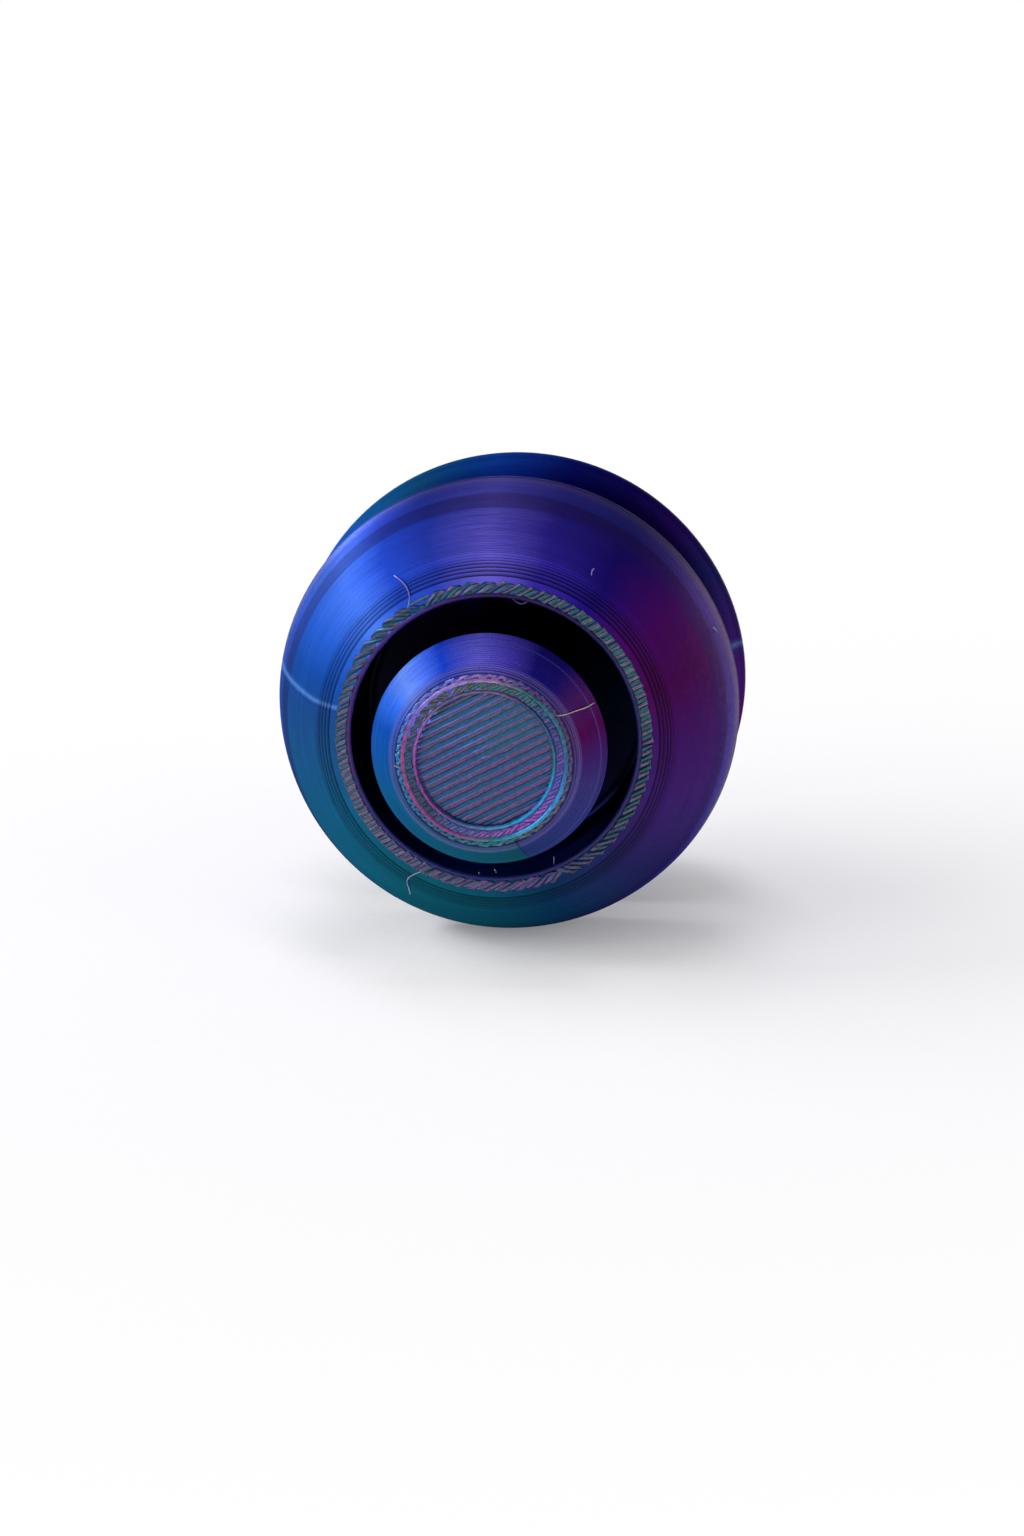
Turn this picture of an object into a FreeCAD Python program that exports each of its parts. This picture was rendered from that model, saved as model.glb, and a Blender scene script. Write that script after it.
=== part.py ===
import FreeCAD, Part

import math
import os
from types import SimpleNamespace

from FreeCAD import Vector

# A bearing yo-yo with a freely spinning knob on each side, all in millimetres.
# The spin axis is Y, the front half lies towards -Y, and the origin is the yo-yo's centre.
# Every outline is drawn as (radius, reach), where reach is the distance from the middle plane.

# Halves: two printed cups, rim to rim across the string gap.
rim_radius = 23.0
rim_reach = 6.3
rim_nose = 0.4
string_gap = 4.5
flat_wall_radius = 12.5
dome_rise = 0.75
shoulder_run = 2.55
shoulder_drop = 1.65
shoulder_rise = 0.15
land_radius = 15.5
land_reach = 20.5
land_width = 1.6
cup_floor_reach = 6.5
cup_fillet = 1.5

# Hub of each half: web behind the bearing seat, boss and nut pocket.
hub_web = 2.0
boss_wall = 2.3
nut_pocket_depth = 3.0

# Axle and nuts: one M4 stud right through, with hexagon nuts.
axle_diameter = 4.0
axle_chamfer = 0.4
nut_width = 7.0
hub_nut_height = 3.2
knob_nut_height = 2.2

# Bearing seats: flanged bushes that carry the string bearing.
seat_body_radius = 5.0
seat_body_length = 3.3
seat_collar_length = 0.6
seat_spigot_stop = 0.25

# Response pads: soft rings let into the inner walls.
pad_width = 2.0
pad_thickness = 1.0
pad_wall = 0.85

# String bearing, which the string's loop sits on.
string_bore = 6.35
string_outer = 12.7
string_width = 4.76
string_ball = 1.588
string_ball_count = 10

# Knob bearings, one near each end of the axle, bored to the axle's size and wider than the nut beside them.
knob_outer = nut_width + 3.0
knob_width = 4.0
knob_ball = 1.5
knob_ball_count = 8

# Details shared by the bearings.
race_depth = 0.25
cage_thickness = 0.46
cage_margin = 0.3
shield_thickness = 0.25
shield_inset = 0.25
shield_seat = 0.25
clip_thickness = 0.2
clip_width = 0.35
clip_gap_angle = 30.0

# Sleeves and shims, which clamp the knob bearings' inner rings.
sleeve_wall = 0.9
shim_thickness = 0.3

# Knobs: printed caps with an undercut back and a sunk face, standing proud of the land.
knob_stand = 3.9
knob_radius = 11.4
knob_crown = 0.3
knob_skirt = 4.7
knob_undercut = 1.0
knob_face_radius = 8.6
knob_face_edge = 0.3
knob_lip_width = 2.0
knob_floor = 1.0
knob_sink = 0.6
knob_boss_wall = 1.6
snap_lip_bite = 0.2
snap_lip_length = 0.55

# Clearances.
fit_gap = 0.02
ball_gap = 0.05
lip_gap = 0.05
pad_gap = 0.1
pocket_gap = 0.1
axle_hole_gap = 0.2
side_gap = 0.3
end_gap = 0.4
nut_turn_gap = 0.45
ring_gap = 0.5

# Radii and reaches that follow from the sizes above, from the middle outwards.
axle_radius = axle_diameter / 2 - fit_gap
nut_corner_radius = nut_width / math.sqrt(3)
inner_wall_reach = string_gap / 2
recess_radius = string_outer / 2 + ring_gap
recess_reach = string_width / 2 + side_gap
pad_inner_radius = recess_radius + pad_wall
pad_outer_radius = pad_inner_radius + pad_width
seat_collar_reach = string_width / 2
seat_body_reach = seat_collar_reach + seat_collar_length
seat_end = seat_body_reach + seat_body_length
hub_nut_reach = seat_end + hub_web
boss_reach = hub_nut_reach + nut_pocket_depth
boss_radius = nut_corner_radius + boss_wall
sleeve_reach = hub_nut_reach + hub_nut_height
land_inner_radius = land_radius - land_width

# Reaches of the knob and what is in it, from its edge and face inwards.
knob_edge_reach = land_reach + knob_stand
knob_back_reach = knob_edge_reach - knob_undercut
knob_face_reach = knob_edge_reach + knob_skirt
knob_floor_reach = knob_face_reach - knob_sink
knob_ceiling = knob_floor_reach - knob_floor
axle_end = knob_ceiling - end_gap
knob_nut_reach = axle_end - knob_nut_height
knob_shoulder = knob_nut_reach - shim_thickness
knob_bearing_reach = knob_shoulder - knob_width
knob_boss_radius = knob_outer / 2 + fit_gap + knob_boss_wall
knob_boss_reach = knob_bearing_reach - lip_gap - snap_lip_length


def arc_to(start, end, rise):
    """An arc as an outline step: its middle, which stands off the chord by rise to its right, and its end."""
    run = end[0] - start[0]
    climb = end[1] - start[1]
    chord = math.hypot(run, climb)
    middle_radius = (start[0] + end[0]) / 2 + rise * climb / chord
    middle_reach = (start[1] + end[1]) / 2 - rise * run / chord
    return (middle_radius, middle_reach, end[0], end[1])


def turned(outline):
    """Revolve a closed outline about Y. Two numbers are a corner, and four are an arc's middle and end."""
    here = Vector(outline[0][0], outline[0][1], 0)
    edges = []
    for step in outline[1:] + outline[:1]:
        there = Vector(step[-2], step[-1], 0)
        if len(step) == 4:
            middle = Vector(step[0], step[1], 0)
            edges.append(Part.Arc(here, middle, there).toShape())
        else:
            edges.append(Part.makeLine(here, there))
        here = there
    face = Part.Face(Part.Wire(edges))
    return face.revolve(Vector(0, 0, 0), Vector(0, 1, 0), 360)


def tube(inner, outer, start, end):
    """A plain ring between two radii and two reaches."""
    return turned([(inner, start), (outer, start), (outer, end), (inner, end)])


def hexagon(across_flats, start, height):
    """A hexagonal prism on the Y axis with flats to +X and -X."""
    corner = across_flats / math.sqrt(3)
    points = []
    for number in range(7):
        angle = math.radians(60 * number + 30)
        points.append(Vector(corner * math.cos(angle), start, corner * math.sin(angle)))
    return Part.Face(Part.makePolygon(points)).extrude(Vector(0, height, 0))


def to_front(shape):
    """Turn a rear piece half a turn about Z, which makes its front twin."""
    twin = shape.copy()
    twin.rotate(Vector(0, 0, 0), Vector(0, 0, 1), 180)
    return twin


def pair(shape):
    """A rear piece and its front twin as two solids of one node."""
    return Part.makeCompound([shape, to_front(shape)])


def half():
    """One printed cup: inner wall, catch slope, rim, domed side, land, cup, boss and nut pocket."""
    bore = seat_body_radius + fit_gap
    web_hole = axle_diameter / 2 + axle_hole_gap
    groove_inner = pad_inner_radius - pad_gap
    groove_outer = pad_outer_radius + pad_gap
    groove_reach = inner_wall_reach + pad_thickness + pad_gap
    flat_end = (flat_wall_radius, inner_wall_reach)
    slope_end = (rim_radius - rim_nose, rim_reach - rim_nose)
    rim = (rim_radius, rim_reach)
    shoulder = (land_radius + shoulder_run, land_reach - shoulder_drop)
    land_edge = (land_radius, land_reach)
    wall_end = (land_inner_radius, cup_floor_reach + cup_fillet)
    floor_start = (land_inner_radius - cup_fillet, cup_floor_reach)
    # The catch slope leaves the flat wall along it, so the chord's own angle sets its bow.
    slope_run = slope_end[0] - flat_end[0]
    slope_climb = slope_end[1] - flat_end[1]
    slope_angle = math.atan2(slope_climb, slope_run)
    slope_rise = math.hypot(slope_run, slope_climb) / 2 * math.tan(slope_angle / 2)
    # A quarter circle stands off its chord by this share of its radius.
    quarter_bow = 1 - math.sqrt(0.5)
    outline = [
        (web_hole, seat_end),
        (bore, seat_end),
        (bore, recess_reach),
        (recess_radius, recess_reach),
        (recess_radius, inner_wall_reach),
        (groove_inner, inner_wall_reach),
        (groove_inner, groove_reach),
        (groove_outer, groove_reach),
        (groove_outer, inner_wall_reach),
        flat_end,
        arc_to(flat_end, slope_end, slope_rise),
        arc_to(slope_end, rim, rim_nose * quarter_bow),
        arc_to(rim, shoulder, dome_rise),
        arc_to(shoulder, land_edge, shoulder_rise),
        (land_inner_radius, land_reach),
        wall_end,
        arc_to(wall_end, floor_start, -cup_fillet * quarter_bow),
        (boss_radius, cup_floor_reach),
        (boss_radius, boss_reach),
        (web_hole, boss_reach),
    ]
    pocket = hexagon(nut_width + 2 * pocket_gap, hub_nut_reach, 2 * nut_pocket_depth)
    return turned(outline).cut(pocket)


def axle():
    """The M4 stud as a plain chamfered rod."""
    tip = axle_radius - axle_chamfer
    shank = axle_end - axle_chamfer
    outline = [
        (0, -axle_end),
        (tip, -axle_end),
        (axle_radius, -shank),
        (axle_radius, shank),
        (tip, axle_end),
        (0, axle_end),
    ]
    return turned(outline)


def nut(start, height):
    """A hexagon nut on the axle, its corners eased at 30 degrees on both faces."""
    bore = axle_diameter / 2
    flat = nut_width / 2
    ease = (nut_corner_radius - flat) * math.tan(math.radians(30))
    end = start + height
    outline = [
        (bore, start),
        (flat, start),
        (nut_corner_radius, start + ease),
        (nut_corner_radius, end - ease),
        (flat, end),
        (bore, end),
    ]
    return hexagon(nut_width, start, height).common(turned(outline))


def bearing_seat(bearing):
    """A bush: spigot inside the bearing, collar against its inner ring, body in the half."""
    bore = axle_diameter / 2
    spigot = bearing.bore / 2 - fit_gap
    collar = bearing.inner_land - side_gap / 2
    outline = [
        (bore, seat_spigot_stop),
        (spigot, seat_spigot_stop),
        (spigot, seat_collar_reach),
        (collar, seat_collar_reach),
        (collar, seat_body_reach),
        (seat_body_radius, seat_body_reach),
        (seat_body_radius, seat_end),
        (bore, seat_end),
    ]
    return turned(outline)


def response_pad():
    """A flat soft ring in the groove, level with the inner wall."""
    return tube(pad_inner_radius, pad_outer_radius, inner_wall_reach, inner_wall_reach + pad_thickness)


def sleeve():
    """The tube between the hub nut and the knob bearing's inner ring."""
    bore = axle_diameter / 2
    return tube(bore, bore + sleeve_wall, sleeve_reach, knob_bearing_reach)


def shim():
    """The small washer that keeps the knob nut off the bearing's outer ring."""
    bore = axle_diameter / 2
    return tube(bore, bore + sleeve_wall, knob_shoulder, knob_nut_reach)


def knob():
    """A printed cap that snaps over its bearing: boss, undercut back, crowned side, sunk face."""
    bore = knob_outer / 2 + fit_gap
    snap_lip = knob_outer / 2 - snap_lip_bite
    snap_lip_end = knob_bearing_reach - lip_gap
    cavity = nut_corner_radius + nut_turn_gap
    sink_radius = knob_face_radius - knob_lip_width
    edge = (knob_radius, knob_edge_reach)
    face_corner = (knob_face_radius + knob_face_edge / 2, knob_face_reach - knob_face_edge)
    outline = [
        (0, knob_ceiling),
        (cavity, knob_ceiling),
        (cavity, knob_shoulder),
        (bore, knob_shoulder),
        (bore, snap_lip_end),
        (snap_lip, snap_lip_end),
        (snap_lip, knob_boss_reach),
        (knob_boss_radius, knob_boss_reach),
        (knob_boss_radius, knob_back_reach),
        (knob_radius - knob_undercut, knob_back_reach),
        edge,
        arc_to(edge, face_corner, knob_crown),
        (knob_face_radius - knob_face_edge / 2, knob_face_reach),
        (sink_radius, knob_face_reach),
        (sink_radius, knob_floor_reach),
        (0, knob_floor_reach),
    ]
    return turned(outline)


def bearing_sizes(bore, outer, width, ball, ball_count, middle, clip_room):
    """A ball bearing's own sizes, with its pitch circle, lands and shield steps worked out."""
    pitch = (bore + outer) / 4
    channel = ball / 2 + ball_gap
    step = pitch + channel - race_depth + shield_seat
    return SimpleNamespace(
        bore=bore,
        outer=outer,
        width=width,
        ball=ball,
        ball_count=ball_count,
        middle=middle,
        start=middle - width / 2,
        end=middle + width / 2,
        pitch=pitch,
        channel=channel,
        inner_land=pitch - channel + race_depth,
        outer_land=pitch + channel - race_depth,
        step=step,
        shield_face=width / 2 - shield_inset - clip_room,
        shield_outer=step - fit_gap,
    )


def race(bearing):
    """The ring-shaped channel that the balls run in."""
    return Part.makeTorus(bearing.pitch, bearing.channel, Vector(0, bearing.middle, 0), Vector(0, 1, 0))


def inner_ring(bearing):
    """The ring that is clamped on the axle or its seat."""
    return tube(bearing.bore / 2, bearing.inner_land, bearing.start, bearing.end).cut(race(bearing))


def outer_ring(bearing):
    """The ring that turns, stepped on both sides for its shields."""
    shield_back = bearing.shield_face - shield_thickness
    outline = [
        (bearing.step, bearing.start),
        (bearing.outer / 2, bearing.start),
        (bearing.outer / 2, bearing.end),
        (bearing.step, bearing.end),
        (bearing.step, bearing.middle + shield_back),
        (bearing.outer_land, bearing.middle + shield_back),
        (bearing.outer_land, bearing.middle - shield_back),
        (bearing.step, bearing.middle - shield_back),
    ]
    return turned(outline).cut(race(bearing))


def ball_places(bearing):
    """The direction from the axis to each ball, and the ball's centre."""
    for number in range(bearing.ball_count):
        angle = 2 * math.pi * number / bearing.ball_count
        out = Vector(math.cos(angle), 0, math.sin(angle))
        yield out, out * bearing.pitch + Vector(0, bearing.middle, 0)


def balls(bearing):
    """All of a bearing's balls, each its own solid."""
    spheres = [Part.makeSphere(bearing.ball / 2, centre) for _, centre in ball_places(bearing)]
    return Part.makeCompound(spheres)


def cage(bearing):
    """A ring with a round window for each ball."""
    reach = bearing.ball / 2 + cage_margin
    inner = bearing.pitch - cage_thickness / 2
    ring = tube(inner, inner + cage_thickness, bearing.middle - reach, bearing.middle + reach)
    for out, centre in ball_places(bearing):
        start = centre - out * cage_thickness
        ring = ring.cut(Part.makeCylinder(bearing.channel, 2 * cage_thickness, start, out))
    return ring


def shields(bearing):
    """The two thin discs that close a bearing, fixed in its outer ring."""
    inner = bearing.inner_land + side_gap
    near = bearing.middle - bearing.shield_face
    far = bearing.middle + bearing.shield_face
    first = tube(inner, bearing.shield_outer, near, near + shield_thickness)
    second = tube(inner, bearing.shield_outer, far - shield_thickness, far)
    return Part.makeCompound([first, second])


def clips(bearing):
    """The two split wire rings that hold the string bearing's shields."""
    outer = bearing.shield_outer
    ring = tube(outer - clip_width, outer, bearing.shield_face, bearing.shield_face + clip_thickness)
    half_angle = math.radians(clip_gap_angle / 2)
    far_x = 2 * outer * math.cos(half_angle)
    far_z = 2 * outer * math.sin(half_angle)
    centre = Vector(0, 0, 0)
    corners = [centre, Vector(far_x, 0, far_z), Vector(far_x, 0, -far_z), centre]
    wedge = Part.Face(Part.makePolygon(corners)).extrude(Vector(0, bearing.width, 0))
    return pair(ring.cut(wedge))


string_bearing = bearing_sizes(
    string_bore, string_outer, string_width, string_ball, string_ball_count, 0.0, clip_thickness
)
knob_bearing = bearing_sizes(
    axle_diameter,
    knob_outer,
    knob_width,
    knob_ball,
    knob_ball_count,
    knob_bearing_reach + knob_width / 2,
    0.0,
)

nodes = {
    "axle": axle(),
    "hub_nuts": pair(nut(hub_nut_reach, hub_nut_height)),
    "knob_nuts": pair(nut(knob_nut_reach, knob_nut_height)),
    "knob_shims": pair(shim()),
    "string_bearing_inner_ring": inner_ring(string_bearing),
    "string_bearing_outer_ring": outer_ring(string_bearing),
    "string_bearing_balls": balls(string_bearing),
    "string_bearing_cage": cage(string_bearing),
    "string_bearing_shields": shields(string_bearing),
    "string_bearing_clips": clips(string_bearing),
}

# These pieces are the same on both sides, each side's in a node of its own.
side_pieces = {
    "half": half(),
    "bearing_seat": bearing_seat(string_bearing),
    "response_pad": response_pad(),
    "sleeve": sleeve(),
    "knob": knob(),
    "knob_bearing_inner_ring": inner_ring(knob_bearing),
    "knob_bearing_outer_ring": outer_ring(knob_bearing),
    "knob_bearing_balls": balls(knob_bearing),
    "knob_bearing_cage": cage(knob_bearing),
    "knob_bearing_shields": shields(knob_bearing),
}

for name, shape in side_pieces.items():
    nodes["rear_" + name] = shape
    nodes["front_" + name] = to_front(shape)

os.makedirs("parts", exist_ok=True)
for name, shape in nodes.items():
    shape.exportStep("parts/" + name + ".step")
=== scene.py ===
import math
import random

import bmesh
import bpy
from mathutils import Matrix, Vector


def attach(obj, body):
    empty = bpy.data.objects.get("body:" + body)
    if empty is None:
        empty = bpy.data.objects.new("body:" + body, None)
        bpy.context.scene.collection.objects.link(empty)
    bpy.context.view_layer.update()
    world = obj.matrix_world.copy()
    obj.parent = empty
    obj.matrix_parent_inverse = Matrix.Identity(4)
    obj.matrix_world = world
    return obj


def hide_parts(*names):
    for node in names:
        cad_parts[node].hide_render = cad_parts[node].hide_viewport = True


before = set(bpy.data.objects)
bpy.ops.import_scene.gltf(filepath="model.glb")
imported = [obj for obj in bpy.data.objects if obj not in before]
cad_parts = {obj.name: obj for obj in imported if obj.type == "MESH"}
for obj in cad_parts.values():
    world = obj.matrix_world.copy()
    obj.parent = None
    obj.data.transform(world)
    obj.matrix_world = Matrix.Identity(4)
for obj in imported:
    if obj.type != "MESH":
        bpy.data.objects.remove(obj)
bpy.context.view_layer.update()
bpy.context.scene.view_settings.view_transform = "Standard"

# Halves. Each is a cup printed in one piece from silk PLA, laid down in 0.2 mm layers from the string gap
# outwards. The filament carries three colours side by side, so the colour turns with the way round the print,
# and the colour round the axle also holds painted highlights and painted shade where the lamps fall.
# Sizes are in millimetres. An outline's points are (radius, reach), and reach is how far out along the axle.
MM = 0.001
FLAT_WALL_END = (12.5, 2.25)
CATCH_SLOPE_END = (22.6, 5.9)
RIM = (23.0, 6.3)
SHOULDER = (18.05, 18.85)
LAND_EDGE = (15.5, 20.5)
CATCH_RISE, RIM_RISE, DOME_RISE, LAND_RISE = 1.883, 0.117, 0.75, 0.15
AXLE_HOLE = 2.2
WEB_INNER, WEB_OUTER = 6.28, 8.28
SEAT_BORE, SEAT_FLANGE, SEAT_STEP = 5.02, 6.85, 2.68
PAD_INNER, PAD_OUTER, PAD_FLOOR = 7.6, 9.8, 3.35
HUB_OUTSIDE, HUB_TOP, HUB_CHAMFER = 6.342, 11.28, 6.1
HUB_CORNER = 11.0
NUT_POCKET_FLATS = 7.2
CUP_RADIUS = 13.9
CUP_FLOOR = 6.5
CUP_CORNER, CUP_CORNER_RISE = 1.5, 0.439
CUP_LAYERS = 70
HALF_LAYERS = 91
HALF_GROOVE, CUP_GROOVE = 0.045, 0.05
SKIN_DEPTH = 0.13
LAYERS_TOP = LAND_EDGE[1] - SKIN_DEPTH
TURN_STEPS = 168
HALF_REAR_TURN = 0.0


def arc(start, end, rise, steps):
    """Points of an arc after its start. It stands off its chord by rise, to the right of the way it runs."""
    run, climb = end[0] - start[0], end[1] - start[1]
    chord = math.hypot(run, climb)
    bend = (chord * chord / 4 + rise * rise) / (2 * abs(rise))
    points = []
    for step in range(1, steps + 1):
        along = chord * (step / steps - 0.5)
        off = math.copysign(math.sqrt(bend * bend - along * along) - bend + abs(rise), rise)
        radius = (start[0] + end[0]) / 2 + (along * run + off * climb) / chord
        reach = (start[1] + end[1]) / 2 + (along * climb - off * run) / chord
        points.append((radius, reach))
    return points


DOME = arc(RIM, SHOULDER, DOME_RISE, 24) + arc(SHOULDER, LAND_EDGE, LAND_RISE, 10)


def radius_at(side, reach):
    """Radius of a side, given as points in order of reach, at one reach."""
    for (inner, low), (outer, high) in zip(side, side[1:]):
        if low <= reach <= high:
            return inner + (outer - inner) * (reach - low) / max(high - low, 1e-9)
    return side[-1][0]


def layers(side, first, last, count, groove, outward, chance, fine=True):
    """Outline of a stack of printed layers: a round nose for each, and a groove between each two."""
    height = (last - first) / count
    wander, ease, shoulder = 0.012, 0.22, 0.12
    noses = []
    for layer in range(count):
        middle = radius_at(side, first + (layer + 0.5) * height)
        noses.append(middle - outward * chance.uniform(0, wander))
    outline = []
    for layer, nose in enumerate(noses):
        low = first + layer * height
        eased = nose - outward * groove * ease
        if fine:
            outline.append((eased, low + shoulder * height))
        outline.append((nose, low + 0.5 * height))
        if fine:
            outline.append((eased, low + (1 - shoulder) * height))
        if layer + 1 < count:
            edge = min(nose, noses[layer + 1]) if outward > 0 else max(nose, noses[layer + 1])
            outline.append((edge - outward * groove, low + height))
    return outline


def new_piece(name, points, faces):
    """An object from points in millimetres, with its faces turned outwards and its soft edges smoothed."""
    sharp_edge = 50.0
    mesh = bpy.data.meshes.new(name)
    mesh.from_pydata([[value * MM for value in point] for point in points], [], faces)
    work = bmesh.new()
    work.from_mesh(mesh)
    bmesh.ops.recalc_face_normals(work, faces=work.faces)
    work.to_mesh(mesh)
    work.free()
    mesh.shade_smooth()
    mesh.set_sharp_from_angle(angle=math.radians(sharp_edge))
    piece = bpy.data.objects.new(name, mesh)
    bpy.context.scene.collection.objects.link(piece)
    return piece


def turned(name, outline, looped):
    """A round piece from its outline of (radius, reach) points. A radius may be a function of the angle."""
    points, rings, faces = [], [], []
    for radius, reach in outline:
        ring = []
        steps = TURN_STEPS if callable(radius) or radius > 0 else 1
        for step in range(steps):
            angle = 2 * math.pi * step / TURN_STEPS
            size = radius(angle) if callable(radius) else radius
            ring.append(len(points))
            points.append((size * math.cos(angle), -reach, size * math.sin(angle)))
        rings.append(ring)
    for one, two in zip(rings, rings[1:] + rings[:1] if looped else rings[1:]):
        for step in range(TURN_STEPS):
            after = (step + 1) % TURN_STEPS
            corners = [one[step % len(one)], one[after % len(one)]]
            corners += [two[after % len(two)], two[step % len(two)]]
            faces.append(list(dict.fromkeys(corners)))
    return new_piece(name, points, faces)


def rear_twin(name, mesh, turn):
    """A front print's mesh stood at the rear, half a turn about the upright and some way round the axle."""
    twin = bpy.data.objects.new(name, mesh)
    bpy.context.scene.collection.objects.link(twin)
    twin.matrix_world = Matrix.Rotation(math.pi, 4, "Z") @ Matrix.Rotation(math.radians(turn), 4, "Y")
    return twin


def nut_pocket(angle):
    """Radius of the six-sided nut pocket at one angle."""
    return NUT_POCKET_FLATS / 2 / math.cos((angle + math.pi / 6) % (math.pi / 3) - math.pi / 6)


def half_outline(chance):
    """The closed outline of a half, from the hole in its web round the inner wall, dome, land and cup."""
    first = FLAT_WALL_END[1]
    side = [FLAT_WALL_END] + arc(FLAT_WALL_END, CATCH_SLOPE_END, CATCH_RISE, 24)
    side += arc(CATCH_SLOPE_END, RIM, RIM_RISE, 6) + DOME
    outline = [(AXLE_HOLE, WEB_INNER), (SEAT_BORE, WEB_INNER), (SEAT_BORE, SEAT_STEP)]
    outline += [(SEAT_FLANGE, SEAT_STEP), (SEAT_FLANGE, first), (PAD_INNER, first)]
    outline += [(PAD_INNER, PAD_FLOOR), (PAD_OUTER, PAD_FLOOR), (PAD_OUTER, first)]
    outline += layers(side, first, LAYERS_TOP, HALF_LAYERS, HALF_GROOVE, 1, chance)
    foot = (CUP_RADIUS - CUP_CORNER, CUP_FLOOR)
    cup = [foot] + arc(foot, (CUP_RADIUS, CUP_FLOOR + CUP_CORNER), CUP_CORNER_RISE, 8)
    cup.append((CUP_RADIUS, LAYERS_TOP))
    wall = layers(cup, CUP_FLOOR, LAYERS_TOP, CUP_LAYERS, CUP_GROOVE, -1, chance, fine=False)
    outline += wall[::-1]
    outline += [(HUB_OUTSIDE, CUP_FLOOR), (HUB_OUTSIDE, HUB_CORNER), (HUB_CHAMFER, HUB_TOP)]
    outline += [(nut_pocket, HUB_TOP), (nut_pocket, WEB_OUTER), (AXLE_HOLE, WEB_OUTER)]
    return outline


def linear(code):
    """An sRGB hex colour as linear values with alpha."""
    parts = [int(code[start : start + 2], 16) / 255 for start in (0, 2, 4)]
    return [part / 12.92 if part <= 0.04045 else ((part + 0.055) / 1.055) ** 2.4 for part in parts] + [1.0]


def add(tree, kind, inputs=None, **settings):
    """Add a shader node, set its settings, and set or link its inputs by name or number."""
    node = tree.nodes.new("ShaderNode" + kind)
    for key, value in settings.items():
        setattr(node, key, value)
    for key, value in (inputs or {}).items():
        if isinstance(value, bpy.types.NodeSocket):
            tree.links.new(value, node.inputs[key])
        else:
            node.inputs[key].default_value = value
    return node


def set_stops(node, stops):
    """Give a colour ramp its stops, as pairs of place and hex colour with an optional strength."""
    ramp = node.color_ramp
    while len(ramp.elements) > 1:
        ramp.elements.remove(ramp.elements[-1])
    for number, stop in enumerate(stops):
        element = ramp.elements[0] if number == 0 else ramp.elements.new(min(max(stop[0], 0.0), 1.0))
        element.position = min(max(stop[0], 0.0), 1.0)
        colour = linear(stop[1])
        colour[3] = stop[2] if len(stop) > 2 else 1.0
        element.color = colour


def new_material(name):
    """An empty node material, with its tree."""
    material = bpy.data.materials.new(name)
    material.use_nodes = True
    material.node_tree.nodes.clear()
    return material, material.node_tree


def finish_material(tree, shader):
    """Join the shader to the material's output."""
    add(tree, "OutputMaterial", {"Surface": shader.outputs[0]})


def way_round(tree, axes):
    """Share of a turn about the axle, from 0 to 1, anticlockwise from the right."""
    angle = add(tree, "Math", {0: axes.outputs["Z"], 1: axes.outputs["X"]}, operation="ARCTAN2").outputs[0]
    share = add(tree, "Math", {0: angle, 1: 1 / (2 * math.pi)}, operation="MULTIPLY").outputs[0]
    return add(tree, "Math", {0: share}, operation="FRACT").outputs[0]


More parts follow.
